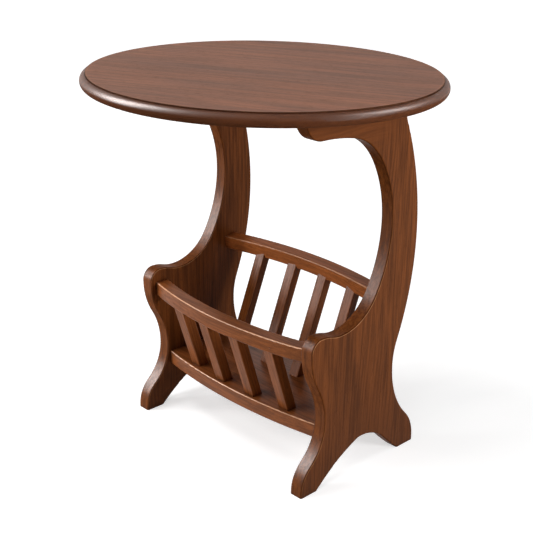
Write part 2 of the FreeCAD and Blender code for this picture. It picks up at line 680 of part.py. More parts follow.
def make_dowel(name, diameter, length, placement, turn):
    """Round dowel with bevelled ends, lying along X or standing along Z."""
    rod = doc.addObject("Part::Cylinder", name + "_rod")
    bind(rod, Radius=f"{diameter} / 2", Height=length)
    doc.recompute()
    dowel = doc.addObject("Part::Chamfer", name)
    dowel.Base = rod
    rims = [n for n, edge in enumerate(rod.Shape.Edges, start=1) if isinstance(edge.Curve, Part.Circle)]
    bevel = value_of("Sizes.dowel_chamfer")
    dowel.Edges = [(number, bevel, bevel) for number in rims]
    dowel.Placement = FreeCAD.Placement(FreeCAD.Vector(), turn)
    for axis, expression in zip("xyz", placement):
        dowel.setExpression(f"Placement.Base.{axis}", expression)
    return dowel


def make_end_dowels(label, diameter, places):
    """Dowels that pin a piece of the rack to both side panels."""
    along_x = FreeCAD.Rotation(FreeCAD.Vector(0, 0, 1), FreeCAD.Vector(1, 0, 0))
    right = f"{HALF_RACK} - {DOWEL_IN_RACK}"
    left = f"0 - {HALF_RACK} - Sizes.dowel_in_panel"
    dowels = []
    for number, (y, z) in enumerate(places, start=1):
        for end, x in (("right", right), ("left", left)):
            name = f"{label}_{end}_{number}"
            dowels.append(make_dowel(name, diameter, "Sizes.dowel_length", (x, y, z), along_x))
    group(label, dowels)


def make_top_dowels():
    """Dowels that hold the top in place on the uprights."""
    low = f"{TOP_UNDERSIDE} + Sizes.top_dowel_in_top - Sizes.top_dowel_length"
    diameter, length = "Sizes.board_dowel_diameter", "Sizes.top_dowel_length"
    upright = FreeCAD.Rotation()
    dowels = []
    for end, x in (("right", PANEL_MIDDLE), ("left", f"0 - {PANEL_MIDDLE}")):
        for y in TOP_DOWEL_PLACES:
            dowels.append(make_dowel(f"top_dowel_{end}", diameter, length, (x, y, low), upright))
    group("top_dowels", dowels)


def make_screw(name, x, y):
    """Screw that holds the top down on an arm, with its head below and a cross in the head."""
    body = new_body(name, x=x, y=y, z=f"{TOP_UNDERSIDE} - Sizes.screw_grip")
    sub_parts.remove(body)
    head, shank = "Sizes.screw_head_diameter / 2", "Sizes.screw_diameter / 2"
    low = "0 - Sizes.screw_head_height"
    profile = new_sketch(body, name + "_profile", "XZ_Plane")
    corners = [
        ("0", low),
        (shank, low),
        (head, "0"),
        (shank, "0"),
        (shank, "Sizes.screw_length - Sizes.screw_point_length"),
        ("0", "Sizes.screw_length"),
    ]
    dome = f"(({head} - {shank}) ^ 2 + Sizes.screw_head_height ^ 2) / (2 * ({head} - {shank}))"
    draw_loop(profile, corners, {1: (dome, 1)})
    revolve(body, profile)
    cross = new_sketch(body, name + "_cross", "XY_Plane", z=low)
    near, far = "Sizes.screw_recess_width / 2", "Sizes.screw_recess_span / 2"
    quarter = [(far, near), (near, near), (near, far)]
    turns = [("", "", False), ("0 - ", "", True), ("0 - ", "0 - ", False), ("", "0 - ", True)]
    corners = []
    for sign_x, sign_y, backwards in turns:
        arm = [(sign_x + across, sign_y + along) for across, along in quarter]
        corners += arm[::-1] if backwards else arm
    draw_loop(cross, corners)
    pocket(body, cross, "Sizes.screw_recess_depth", reverse=True)
    return body


def make_top_screws():
    """Screws through both arms into the top."""
    screws = []
    for end, x in (("right", PANEL_MIDDLE), ("left", f"0 - {PANEL_MIDDLE}")):
        for number, place in enumerate(SCREW_PLACES, start=1):
            screws.append(make_screw(f"top_screw_{end}_{number}", x, place))
    group("top_screws", screws)


def check_document():
    """Stops if anything failed to build."""
    for item in doc.Objects:
        if {"Invalid", "Error"} & set(item.State):
            raise RuntimeError(f"{item.Label} failed: {item.State}")
    for part in sub_parts:
        if part.Shape.isNull() or not part.Shape.isValid():
            raise RuntimeError(f"{part.Label} has no valid shape")


make_top()
make_panel("left_side_panel", inner_is_left=False)
make_panel("right_side_panel", inner_is_left=True)
for rack_side in sides:
    make_rail(rack_side)
make_floor_board()
for rack_side in sides:
    for slat_number in slat_numbers:
        make_slat(rack_side, slat_number)
for rack_side in sides:
    make_end_dowels(
        f"{rack_side.name}_rail_dowels",
        "Sizes.rail_dowel_diameter",
        [(rack_side.rail_end, rack_side.rail_height)],
    )
make_end_dowels(
    "floor_board_dowels",
    "Sizes.board_dowel_diameter",
    [(dowel_place, BOARD_DOWEL_HEIGHT) for dowel_place in BOARD_DOWEL_PLACES],
)
make_top_dowels()
make_top_screws()
doc.recompute()
check_document()

os.makedirs("parts", exist_ok=True)
for part in sub_parts:
    part.Shape.exportStep(f"parts/{part.Label}.step")
    print(part.Label, len(part.Shape.Solids), "solid(s),", round(part.Shape.Volume / 1000, 1), "cm3")
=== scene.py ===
"""Round side table with a slatted magazine rack, dressed for a studio picture.

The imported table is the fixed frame. The operators give its pieces their lacquered walnut, beech and
steel, and set up the floor, the lights and the camera. Metres: +X to the right, +Y to the back, +Z up.
"""

import math
from functools import partial

import bpy
from bpy.props import FloatProperty, FloatVectorProperty, PointerProperty
from mathutils import Matrix, Vector


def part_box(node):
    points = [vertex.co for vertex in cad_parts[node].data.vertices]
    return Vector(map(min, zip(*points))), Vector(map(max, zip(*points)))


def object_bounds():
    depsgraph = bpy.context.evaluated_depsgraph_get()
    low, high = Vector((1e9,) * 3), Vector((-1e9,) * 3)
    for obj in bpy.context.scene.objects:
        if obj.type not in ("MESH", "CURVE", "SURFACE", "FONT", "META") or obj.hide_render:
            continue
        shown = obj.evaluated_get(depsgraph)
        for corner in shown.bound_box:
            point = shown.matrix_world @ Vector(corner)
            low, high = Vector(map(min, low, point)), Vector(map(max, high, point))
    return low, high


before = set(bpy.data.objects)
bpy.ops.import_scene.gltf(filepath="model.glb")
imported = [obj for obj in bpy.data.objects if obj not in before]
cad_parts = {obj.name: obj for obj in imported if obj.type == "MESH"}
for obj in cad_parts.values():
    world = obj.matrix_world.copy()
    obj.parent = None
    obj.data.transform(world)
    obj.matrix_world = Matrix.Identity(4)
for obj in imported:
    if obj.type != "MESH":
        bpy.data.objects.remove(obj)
CAD_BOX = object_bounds()

bl_info = {
    "name": "Magazine Table",
    "version": (1, 0, 0),
    "blender": (4, 5, 0),
    "location": "View3D > Sidebar > Magazine Table",
    "description": "Finishes and studio of a round side table with a magazine rack",
    "category": "Object",
}

SIDE_PANELS = ("left_side_panel", "right_side_panel")
FRONT_SLATS = tuple(sorted(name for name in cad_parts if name.startswith("front_slat")))
REAR_SLATS = tuple(sorted(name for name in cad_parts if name.startswith("rear_slat")))
LEVEL_DOWELS = ("front_rail_dowels", "rear_rail_dowels", "floor_board_dowels")
SLAT_END = 0.001

SIDEWAYS = (1.0, 0.0, 0.0)
UPWARD = (0.0, 0.0, 1.0)
QUARTER_TURN = math.pi / 2

# How a piece is turned to bring its grain along X, and which part of the board it is cut from.
LEVEL_GRAIN = (0.0, 0.0, 0.0)
UPRIGHT_GRAIN = (0.0, QUARTER_TURN, 0.0)
ARM_GRAIN = (0.0, 0.0, -QUARTER_TURN)
RAIL_GRAIN = (0.3, 0.0, 0.0)
BOARD_START = (0.0, 0.0, 0.0)
ARM_CUT = (0.31, 0.17, 0.23)
FLOOR_BOARD_CUT = (0.4, 0.2, 0.1)
REAR_RAIL_CUT = (0.2, 0.1, 0.0)

# Patterns of the walnut, as repeats per metre along the grain and across it.
BENDS = (2.0, 8.0, 8.0)
PORES = (90.0, 1500.0, 1500.0)
PATCHES = (4.0, 12.0, 12.0)
BEND_REACH = (0.0, 0.03, 0.03)
PITH_PLACE = (0.0, 0.07, -0.11)
PITH_SLOPE = (0.0, 0.05, 0.09)

# What each pattern adds to the walnut's tone, stain, roughness and relief.
RING_TONE, STREAK_TONE, PATCH_TONE = 0.25, 0.5, 0.25
PORE_STAIN = 0.5
STREAK_ROUGHNESS, PORE_ROUGHNESS, PATCH_ROUGHNESS = -0.06, 0.12, 0.05
STREAK_RELIEF = 0.35
RELIEF_DEPTH = 0.00025
# Painted shade in the corners: how far it reaches and how dark it gets.
CORNER_REACH = 0.012
CORNER_SHADE = 0.55

# Bands of wear with a painted highlight, and of painted shade along the edges: where one rises, is full,
# starts to fade and has gone. On panels and bars that goes by how far a face is turned, and on the top
# by the distance past the field's edge.
PANEL_WEAR_HIGHLIGHT_BAND = (0.76, 0.86, 0.94, 0.99)
PANEL_SHADE_LINE = (0.15, 0.4, 0.6, 0.78)
BAR_WEAR_HIGHLIGHT_BAND = (0.3, 0.5, 0.8, 0.95)
FIELD_WEAR_HIGHLIGHT_BAND = (-0.004, -0.002, -0.001, -0.0005)
STEP_SHADE_LINE = (-0.0006, -0.0002, 0.0006, 0.0016)
RIM_BLUR = 0.001

# How far up a face is turned, from where an effect starts to where it is full.
# Edges take their wear and painted highlight only where they face up, towards the light.
PANEL_UPWARD_WEAR_HIGHLIGHT = (-0.1, 0.3)
BAR_UPWARD_WEAR_HIGHLIGHT = (-0.1, 0.4)
RIM_POLISHED = (0.0, 0.3)
HANDLED = (0.35, 0.65)
THIN_LACQUER = (-0.35, -0.02)
THINNEST = 0.15

# Panels: how far a face is turned sideways, how far inwards, the heights of the bay, and the heights
# over which the edges darken to painted shade under the top.
PANEL_FACE = (0.5, 0.95)
INNER_FACE = -0.1
BAY_HEIGHTS = (0.17, 0.23)
ARM_SHADE_HEIGHTS = (0.38, 0.5)

# Beech of the dowels and steel of the screws, with repeats per metre.
FLECKS = (120.0, 900.0, 900.0)
DULL_PATCHES = (700.0, 700.0, 700.0)
SCRATCHES = (300.0, 4000.0, 4000.0)

LAMP_DISTANCE = 2.4
SOFTBOX = (0.7, 0.7)
STRIP = (0.45, 0.85)
LEFT_WINDOW = (1.1, 1.5)
BACK_WINDOW = (0.9, 1.2)
GLOW_START = 0.3
SENSOR_WIDTH = 36.0
WHITE = (1.0, 1.0, 1.0, 1.0)


def colour(name, description, default):
    """Colour that a user can pick."""
    return FloatVectorProperty(
        name=name, description=description, default=default, subtype="COLOR", size=3, min=0, max=1
    )


def length(name, description, default):
    """Length in metres that a user can set."""
    return FloatProperty(
        name=name, description=description, default=default, unit="LENGTH", min=0, precision=4
    )


def share(name, description, default):
    """Amount from none to all that a user can set."""
    return FloatProperty(
        name=name, description=description, default=default, subtype="FACTOR", min=0, max=1
    )


def angle(name, description, degrees):
    """Angle that a user can set."""
    default = math.radians(degrees)
    return FloatProperty(
        name=name, description=description, default=default, subtype="ANGLE", unit="ROTATION"
    )


def power(name, description, default):
    """Power of a lamp in watts."""
    return FloatProperty(name=name, description=description, default=default, unit="POWER", min=0)


class WalnutSettings:
    """What every walnut finish of the table can set."""

    light_wood: colour("Light wood", "Stain on the pale bands of the grain", (0.275, 0.08, 0.0193))
    dark_wood: colour("Dark wood", "Stain on the dark bands of the grain", (0.115, 0.0334, 0.008))
    pore: colour("Pores", "Stain in the pores and the deepest streaks", (0.03, 0.0087, 0.0025))
    # The rubbed edges' colour is wear and a painted highlight on the edges that face up.
    worn_and_highlit: colour("Rubbed edges", "Stain where the edges are rubbed thin", (0.62, 0.3, 0.14))
    wear: share("Edge wear", "How far the edges are rubbed", 0.45)
    # The edge lining is painted shade along the rounded edges.
    painted_shade: share("Painted edge shade", "How much stain has gathered along the rounded edges", 0.6)
    ring_width: length("Ring width", "Width of the bands of the grain", 0.011)
    streak_width: length("Streak width", "Width of the fine streaks", 0.0035)
    streak_length: length("Streak length", "Length of the fine streaks along the grain", 0.1)
    roughness: share("Roughness", "Roughness of the lacquered wood", 0.32)
    relief: share("Relief", "How far the grain can be felt through the lacquer", 0.15)
    lacquer: share("Lacquer", "Strength of the clear lacquer's shine", 0.1)


class TopFinish(WalnutSettings, bpy.types.PropertyGroup):
    """Walnut of the round top."""

    # The grey in the top's two wood colours is a painted sheen of the lacquer.
    light_wood: colour("Light wood", "Stain on the pale bands of the grain", (0.29, 0.128, 0.078))
    dark_wood: colour("Dark wood", "Stain on the dark bands of the grain", (0.157, 0.09, 0.0695))
    # The field's edge has wear and a painted highlight, and the step below it painted shade.
    wear: share("Edge wear", "How far the edge of the field is rubbed", 0.1)
    painted_shade: share("Painted edge shade", "How much stain has gathered along the step of the field", 0.85)
    ring_width: length("Ring width", "Width of the bands of the grain", 0.02)
    streak_width: length("Streak width", "Width of the fine streaks", 0.006)
    streak_length: length("Streak length", "Length of the fine streaks along the grain", 0.16)
    lacquer: share("Lacquer", "Strength of the clear lacquer's shine on the field", 0.003)
    field_radius: length("Field radius", "Radius of the flat raised field", 0.242)
    rim_wood: colour("Rim wood", "Stain on the round rim", (0.055, 0.0128, 0.001))
    rim_stain: share("Rim stain", "How far that stain covers the wood of the rim", 0.85)
    rim_lacquer: share("Rim lacquer", "Strength of the shine on the upper round of the rim", 0.07)
    rim_roughness: share("Rim roughness", "Roughness on the upper round of the rim", 0.4)
    grain_turn: angle("Grain turn", "Direction of the top's grain, from +X towards +Y", 27)


class PanelFinish(WalnutSettings, bpy.types.PropertyGroup):
    """Walnut of the two side panels."""

    light_wood: colour("Light wood", "Stain on the pale bands of the grain", (0.245, 0.071, 0.0172))
    dark_wood: colour("Dark wood", "Stain on the dark bands of the grain", (0.078, 0.0226, 0.0055))
    wear: share("Edge wear", "How far the edges are rubbed", 0.6)
    lacquer: share("Lacquer", "Strength of the clear lacquer's shine", 0.043)
    # The darker feet, the darker faces towards the rack and the darker edges under the top are painted
    # shade.
    foot_shade: share("Foot shade", "How much darker the faces of the feet are", 0.42)
    foot_height: length("Foot height", "Height at which the darker faces of the feet end", 0.3)
    edge_stain: share("Edge stain", "How much darker the edges are than the faces", 0.14)
    arm_calm: share("Calm arm", "How far the arm's grain is evened out", 0.5)
    arm_shade: share("Shade under the top", "How much darker the edges are under the top", 0.5)
    inner_shade: share("Inner shade", "How much darker the faces towards the rack are", 0.2)
    dulled: share("Dulled edges", "How much shine is left on the bay's edges that face up", 0.3)
    joint_place: FloatVectorProperty(
        name="Arm joint",
        description="Point on the glued joint between the arm and the upright, to the back and up",
        default=(0.03, 0.478),
        size=2,
        unit="LENGTH",
    )
    joint_angle: angle("Joint angle", "Slope of that joint from the horizontal", 55)
    joint_blur: length("Joint blur", "Width over which the two grains run together", 0.06)


class RailFinish(WalnutSettings, bpy.types.PropertyGroup):
    """Walnut of the front rail and the floor board, which are handled most; their bright upper edges are
    wear and a painted highlight.
    """

    worn_and_highlit: colour("Rubbed edges", "Stain where the edges are rubbed thin", (0.78, 0.43, 0.25))
    wear: share("Edge wear", "How far the edges are rubbed", 0.9)
    board_lacquer: share("Board lacquer", "Strength of the shine on the floor board", 0.16)


class RearRailFinish(WalnutSettings, bpy.types.PropertyGroup):
    """Paler walnut of the rear rail: the paleness is painted light for the light that falls on it, and
    its upper edges carry wear and a painted highlight.
    """

    light_wood: colour("Light wood", "Stain on the pale bands of the grain", (0.43, 0.1247, 0.0301))
    dark_wood: colour("Dark wood", "Stain on the dark bands of the grain", (0.19, 0.0551, 0.0133))
    worn_and_highlit: colour("Rubbed edges", "Stain where the edges are rubbed thin", (0.7, 0.37, 0.2))
    wear: share("Edge wear", "How far the edges are rubbed", 0.55)
    lacquer: share("Lacquer", "Strength of the clear lacquer's shine", 0.09)


class SlatFinish(WalnutSettings, bpy.types.PropertyGroup):
    """Walnut of the slats."""

    lacquer: share("Lacquer", "Strength of the clear lacquer's shine on the front slats", 0.1)
    rear_lacquer: share("Rear lacquer", "Strength of that shine on the rear slats", 0.045)


class FastenerFinish(bpy.types.PropertyGroup):
    """Beech of the dowels and steel of the screws."""

    beech_light: colour("Beech", "Pale wood of the dowels", (0.56, 0.37, 0.21))
    beech_dark: colour("Beech flecks", "Darker flecks of the dowels", (0.4, 0.24, 0.125))
    steel: colour("Steel", "Plated steel of the screws", (0.62, 0.59, 0.53))
    steel_dull: colour("Dull steel", "Duller patches of the plating", (0.42, 0.4, 0.36))


class StageSettings(bpy.types.PropertyGroup):
    """Floor, lamps and camera."""

    floor: colour("Floor", "Pale floor under the table", (0.7, 0.7, 0.7))
    floor_size: length("Floor size", "Side of the square floor", 14.0)
    near_glow: share("Near glow", "What the camera sees added to the lit floor at the table", 0.6)
    far_glow: share("Far glow", "What the camera sees added to the lit floor far away", 0.97)
    glow_reach: length("Glow reach", "Distance from the table at which the far glow is reached", 2.6)
    daylight: share("Room light", "Even light from all round", 0.1)
    key_power: power("Key lamp", "Soft lamp at the left, low in front of the table", 34)
    high_left_power: power("High left lamp", "Soft lamp high at the left", 17.5)
    high_right_power: power("High right lamp", "Soft lamp high at the right", 12.5)
    front_power: power("Front lamp", "Soft lamp in front of the table", 14)
    side_power: power("Side lamp", "Soft lamp low at the right of the table", 30)
    strip_power: power("Strip lamp", "Tall lamp at the left that only shows in the lacquer", 90)
    left_window_power: power(
        "Left window", "Wide lamp high at the left that only shows in the lacquer of top and panels", 640
    )
    back_window_power: power(
        "Back window", "Wide lamp high at the back that only shows in the lacquer of the top", 260
    )
    camera_place: FloatVectorProperty(
        name="Camera place",
        description="Where the camera stands",
        default=(1.0438, -1.0228, 0.8416),
        subtype="TRANSLATION",
        unit="LENGTH",
    )
    camera_azimuth: angle("Azimuth", "Direction to the camera, from the front towards the right", 45.27)
    camera_elevation: angle("Elevation", "Angle of the camera above the horizon", 21.37)
    camera_roll: angle("Roll", "Turn of the camera about its own axis", 1.34)
    camera_lens: FloatProperty(
        name="Lens", description="Focal length", default=72.9, unit="CAMERA", min=1
    )


class TableSettings(bpy.types.PropertyGroup):
    """All the settings of the table."""

    top: PointerProperty(type=TopFinish)
    panels: PointerProperty(type=PanelFinish)
    rails: PointerProperty(type=RailFinish)
    rear_rail: PointerProperty(type=RearRailFinish)
    slats: PointerProperty(type=SlatFinish)
    fasteners: PointerProperty(type=FastenerFinish)
    stage: PointerProperty(type=StageSettings)


class Nodes:
    """Adds nodes to a tree; an input is given as a value or as the socket that feeds it."""

    def __init__(self, tree):
        self.tree = tree

    def add(self, kind, inputs=None, **settings):
        """New node with its settings and inputs."""
        node = self.tree.nodes.new(kind)
        for name, value in settings.items():
            setattr(node, name, value)
        self.feed(node, inputs or {})
        return node

    def feed(self, node, inputs):
        """Gives a node its inputs."""
        for name, value in inputs.items():
            if isinstance(value, bpy.types.NodeSocket):
                self.tree.links.new(value, node.inputs[name])
            else:
                node.inputs[name].default_value = value

    def place(self):
        """Place in the piece."""
        return self.add("ShaderNodeTexCoord").outputs["Object"]

    def normal(self):
        """Direction that the surface faces."""
        return self.add("ShaderNodeNewGeometry").outputs["Normal"]

    def math(self, operation, first, second=0.0, clamp=False):
        """Sum or another operation on two numbers."""
        inputs = {0: first, 1: second}
        return self.add("ShaderNodeMath", inputs, operation=operation, use_clamp=clamp).outputs[0]

    def total(self, *terms):
        """Sum of numbers, each times its weight."""
        result = None
        for value, weight in terms:
            term = self.math("MULTIPLY", value, weight)
            result = term if result is None else self.math("ADD", result, term)
        return result

    def vector(self, operation, first, second):
        """Sum or another operation on two vectors."""
        return self.add("ShaderNodeVectorMath", {0: first, 1: second}, operation=operation).outputs[0]

    def dot(self, first, second):
        """Dot product of two vectors."""
        inputs = {0: first, 1: second}
        return self.add("ShaderNodeVectorMath", inputs, operation="DOT_PRODUCT").outputs["Value"]

    def distance(self, vector):
        """Length of a vector."""
        return self.add("ShaderNodeVectorMath", {0: vector}, operation="LENGTH").outputs["Value"]

    def part(self, vector, axis):
        """Part of a vector along X, Y or Z."""
        return self.add("ShaderNodeSeparateXYZ", {0: vector}).outputs[axis]

    def remap(self, value, low, high, new_low=0.0, new_high=1.0):
        """Smooth step of a value from one range to another."""
        inputs = {
            "Value": value,
            "From Min": low,
            "From Max": high,
            "To Min": new_low,
            "To Max": new_high,
        }
        return self.add("ShaderNodeMapRange", inputs, interpolation_type="SMOOTHSTEP").outputs[0]

    def band(self, value, rise, start, end, fall):
        """One from start to end, and fading out on both sides."""
        return self.math("MULTIPLY", self.remap(value, rise, start), self.remap(value, fall, end))

    def noise(self, vector, repeats, detail=2.0, roughness=0.5, output="Fac"):
        """Cloudy pattern with the given repeats per metre along the three axes."""
        stretched = self.vector("MULTIPLY", vector, repeats)
        inputs = {"Vector": stretched, "Scale": 1.0, "Detail": detail, "Roughness": roughness}
        return self.add("ShaderNodeTexNoise", inputs).outputs[output]

    def mix(self, amount, first, second):
        """Mix of two numbers."""
        return self.add("ShaderNodeMix", {0: amount, 2: first, 3: second}).outputs[0]

    def blend(self, amount, first, second):
        """Mix of two colours."""
        inputs = {"Factor": amount, 6: first, 7: second}
        return self.add("ShaderNodeMix", inputs, data_type="RGBA").outputs[2]

    def bump(self, height, strength, depth):
        """Direction that the surface faces with a fine relief on it."""
        inputs = {"Height": height, "Strength": strength, "Distance": depth}
        return self.add("ShaderNodeBump", inputs).outputs[0]


def opaque(rgb):
    """Colour with a full alpha."""
    return (*rgb, 1.0)


def walnut_figure(name, finish):
    """Node group that turns a place in the wood, with the grain along X, into colour and relief."""
    tree = bpy.data.node_groups.new(name, "ShaderNodeTree")
    sockets = (
        ("Grain", "INPUT", "NodeSocketVector"),
        ("Rubbed and highlit", "INPUT", "NodeSocketFloat"),
        ("Edge shade line", "INPUT", "NodeSocketFloat"),
        ("Colour", "OUTPUT", "NodeSocketColor"),
        ("Roughness", "OUTPUT", "NodeSocketFloat"),
        ("Relief", "OUTPUT", "NodeSocketFloat"),
    )
    for socket, way, kind in sockets:
        tree.interface.new_socket(socket, in_out=way, socket_type=kind)
    nodes = Nodes(tree)
    given = nodes.add("NodeGroupInput").outputs
    place = given["Grain"]

    # Slow bends of the grain.
    bends = nodes.noise(place, BENDS, output="Color")
    swing = nodes.vector("SUBTRACT", bends, (0.5, 0.5, 0.5))
    bent = nodes.vector("ADD", place, nodes.vector("MULTIPLY", swing, BEND_REACH))

    # Growth rings about a pith that lies outside the board and slopes along it.
    inputs = {"Vector": bent, "Location": PITH_PLACE, "Rotation": PITH_SLOPE}
    about_pith = nodes.add("ShaderNodeMapping", inputs).outputs[0]
    radius = nodes.distance(nodes.vector("MULTIPLY", about_pith, (0.0, 1.0, 1.0)))
    inputs = {"W": nodes.math("DIVIDE", radius, finish.ring_width), "Scale": 1.0, "Detail": 2.0}
    ring = nodes.add("ShaderNodeTexNoise", inputs, noise_dimensions="1D")
    rings = nodes.remap(ring.outputs["Fac"], 0.3, 0.7)

    # Fine streaks, pores and broad cloudy patches.
    thin, long = 1.0 / finish.streak_width, 1.0 / finish.streak_length
    streaks = nodes.noise(bent, (long, thin, thin), 3.0, 0.6)
    fine = nodes.remap(streaks, 0.37, 0.63)
    pits = nodes.remap(nodes.noise(bent, PORES, 1.0), 0.6, 0.72)
    patches = nodes.remap(nodes.noise(place, PATCHES), 0.25, 0.75)
    tone = nodes.total((rings, RING_TONE), (fine, STREAK_TONE), (patches, PATCH_TONE))
    wood = nodes.blend(tone, opaque(finish.dark_wood), opaque(finish.light_wood))
    wood = nodes.blend(nodes.math("MULTIPLY", pits, PORE_STAIN), wood, opaque(finish.pore))

    # Painted shade along the rounded edges and in the corners, and edges with wear and a painted
    # highlight.
    edge_shade = nodes.math("MULTIPLY", given["Edge shade line"], finish.painted_shade)
    wood = nodes.blend(edge_shade, wood, opaque(finish.pore))
    # Wear with a painted highlight on the edges.
    rubbed = nodes.math("MULTIPLY", given["Rubbed and highlit"], nodes.remap(streaks, 0.2, 0.6, 0.55, 1.0))
    wood = nodes.blend(nodes.math("MULTIPLY", rubbed, finish.wear), wood, opaque(finish.worn_and_highlit))
    # Painted shade in the corners, darker where the surface is closed in.
    corner = nodes.add("ShaderNodeAmbientOcclusion", {"Distance": CORNER_REACH}, samples=8)
    gathered = nodes.remap(corner.outputs["AO"], 0.85, 0.3, 0.0, CORNER_SHADE)
    wood = nodes.blend(gathered, wood, opaque(finish.pore))

    uneven = nodes.total(
        (nodes.math("SUBTRACT", fine, 0.5), STREAK_ROUGHNESS),
        (pits, PORE_ROUGHNESS),
        (patches, PATCH_ROUGHNESS),
    )
    rough = nodes.math("ADD", uneven, finish.roughness, clamp=True)
    relief = nodes.math("SUBTRACT", nodes.math("MULTIPLY", fine, STREAK_RELIEF), pits)
    nodes.add("NodeGroupOutput", {"Colour": wood, "Roughness": rough, "Relief": relief})
    return tree


def cleared(owner):
    """Empty node tree of a new material or world."""
    owner.use_nodes = True
    owner.node_tree.nodes.clear()
    return Nodes(owner.node_tree)


def new_material(name):
    """Material with its shader and its output."""
    material = bpy.data.materials.new(name)
    nodes = cleared(material)
    shader = nodes.add("ShaderNodeBsdfPrincipled")
    nodes.add("ShaderNodeOutputMaterial", {"Surface": shader.outputs[0]})
    return material, nodes, shader


def grain_place(nodes, rotation, cut=BOARD_START):
    """Place in the wood, turned so that its grain runs along X."""
    inputs = {"Vector": nodes.place(), "Rotation": rotation, "Location": cut}
    return nodes.add("ShaderNodeMapping", inputs).outputs[0]


def face_turn(nodes, axis):
    """How far a face is turned along an axis, either way."""
    return nodes.math("ABSOLUTE", nodes.dot(nodes.normal(), axis))


def face_rise(nodes):
    """How far a face is turned upwards."""
    return nodes.part(nodes.normal(), "Z")


def panel_edges(nodes):
    """Rounded edges beside a panel's faces: painted shade along them, and wear with a painted highlight
    where they face up.
    """
    turn = face_turn(nodes, SIDEWAYS)
    upper = nodes.remap(face_rise(nodes), *PANEL_UPWARD_WEAR_HIGHLIGHT)
    rubbed = nodes.math("MULTIPLY", nodes.band(turn, *PANEL_WEAR_HIGHLIGHT_BAND), upper)
    return {"Rubbed and highlit": rubbed, "Edge shade line": nodes.band(turn, *PANEL_SHADE_LINE)}


def bar_edges(nodes, axis):
    """Rounded upper edges of a rail, a board or a slat, with wear and a painted highlight."""
    upper = nodes.remap(face_rise(nodes), *BAR_UPWARD_WEAR_HIGHLIGHT)
    return {"Rubbed and highlit": nodes.math("MULTIPLY", nodes.band(face_turn(nodes, axis), *BAR_WEAR_HIGHLIGHT_BAND), upper)}


def from_centre(nodes):
    """Distance from the top's centre."""
    return nodes.distance(nodes.vector("MULTIPLY", nodes.place(), (1.0, 1.0, 0.0)))


def field_edges(nodes, radius):
    """Edge of the top's round field, with wear and a painted highlight, and the step below it, with
    painted shade.
    """
    distance = from_centre(nodes)
    rubbed = nodes.band(distance, *(radius + past for past in FIELD_WEAR_HIGHLIGHT_BAND))
    edge_shade = nodes.band(distance, *(radius + past for past in STEP_SHADE_LINE))
    return {"Rubbed and highlit": rubbed, "Edge shade line": edge_shade}


def figured(nodes, figure, place, edges):
    """Outputs of a walnut figure at a place in the wood."""
    return nodes.add("ShaderNodeGroup", {"Grain": place, **edges}, node_tree=figure).outputs


def lacquered(nodes, shader, finish, wood, rough, relief, lacquer):
    """Joins wood to its shader under clear lacquer."""
    inputs = {
        "Base Color": wood,
        "Roughness": rough,
        "Normal": nodes.bump(relief, finish.relief, RELIEF_DEPTH),
        "Specular IOR Level": lacquer,
    }
    nodes.feed(shader, inputs)


def thinned_below(nodes, rise, lacquer):
    """Lacquer that is thin on faces that point down."""
    return nodes.math("MULTIPLY", nodes.remap(rise, *THIN_LACQUER, THINNEST, 1.0), lacquer)


def walnut(name, figure, finish, edges, lacquer, rotation, cut=BOARD_START):
    """Lacquered walnut whose grain runs one way, with a function that finds its edges."""
    material, nodes, shader = new_material(name)
    wood = figured(nodes, figure, grain_place(nodes, rotation, cut), edges(nodes))
    lacquered(nodes, shader, finish, wood["Colour"], wood["Roughness"], wood["Relief"], lacquer)
    return material


def rimmed_walnut(name, figure, finish):
    """Lacquered walnut of the round top, darker and glossier on its rim."""
    material, nodes, shader = new_material(name)
    radius = finish.field_radius
    place = grain_place(nodes, (0.0, 0.0, -finish.grain_turn))
    wood = figured(nodes, figure, place, field_edges(nodes, radius))
    on_rim = nodes.remap(from_centre(nodes), radius, radius + RIM_BLUR)
    covered = nodes.math("MULTIPLY", on_rim, finish.rim_stain)
    stained = nodes.blend(covered, wood["Colour"], opaque(finish.rim_wood))
    rise = face_rise(nodes)
    polished = nodes.math("MULTIPLY", on_rim, nodes.remap(rise, *RIM_POLISHED))
    lacquer = nodes.remap(polished, 0.0, 1.0, finish.lacquer, finish.rim_lacquer)
    rough = nodes.mix(polished, wood["Roughness"], finish.rim_roughness)
    relief = nodes.math("MULTIPLY", wood["Relief"], nodes.math("SUBTRACT", 1.0, on_rim))
    lacquered(nodes, shader, finish, stained, rough, relief, thinned_below(nodes, rise, lacquer))
    return material


def arm_share(nodes, finish):
    """One in a panel's arm and none in its upright, which run together at their glued joint."""
    back, up = finish.joint_place
    slope = finish.joint_angle
    from_joint = nodes.vector("SUBTRACT", nodes.place(), (0.0, back, up))
    beyond = nodes.dot(from_joint, (0.0, math.sin(slope), -math.cos(slope)))
    half = finish.joint_blur / 2
    return nodes.remap(beyond, half, -half)


def panel_stain_and_shade(nodes, finish):
    """How much darker a panel is: painted shade on its feet, towards the rack and on the edges under the
    top, and a darker stain on its other edges.
    """
    where = nodes.place()
    height = nodes.part(where, "Z")
    outward = nodes.part(nodes.vector("MULTIPLY", nodes.normal(), where), "X")
    # Painted shade: faces towards the rack, faces near the floor, and edges under the top.
    inner = nodes.remap(outward, 0.0, INNER_FACE, 0.0, finish.inner_shade)
    low = nodes.remap(height, finish.foot_height, 0.0, 0.0, finish.foot_shade)
    faces = nodes.math("MAXIMUM", low, inner)
    edges = nodes.remap(height, *ARM_SHADE_HEIGHTS, finish.edge_stain, finish.arm_shade)
    return nodes.mix(nodes.remap(face_turn(nodes, SIDEWAYS), *PANEL_FACE), edges, faces)


